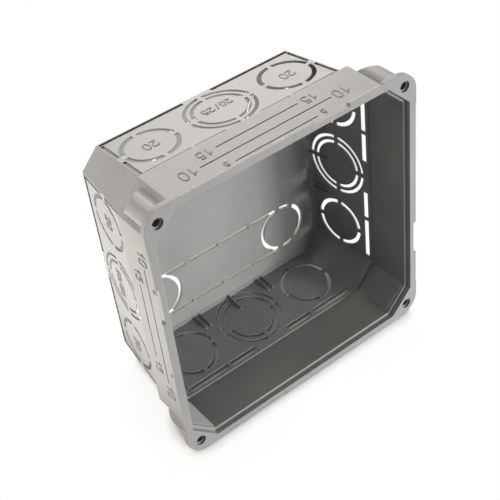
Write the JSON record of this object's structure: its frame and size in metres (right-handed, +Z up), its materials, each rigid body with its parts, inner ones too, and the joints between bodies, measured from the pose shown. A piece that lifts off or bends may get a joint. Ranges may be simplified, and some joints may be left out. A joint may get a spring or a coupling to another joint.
{
  "type": "flush back box",
  "caption": "Square moulded wiring box for flush mounting in a wall, with a rimmed open mouth, screw ears at the corners and pre-cut knock-outs for conduit on its walls.",
  "frame": {"origin": "centre of the mouth plane, in the middle of the lid screws", "axes": "+X to the right along the mouth, +Y back into the wall, +Z up, as the box sits in a wall"},
  "size_m": [0.1084, 0.05, 0.1084],
  "materials": {
    "moulding": "satin grey thermoplastic with fine moulding marks"
  },
  "bodies": {
    "root": {"back_box": "moulding"}
  },
  "joints": []
}
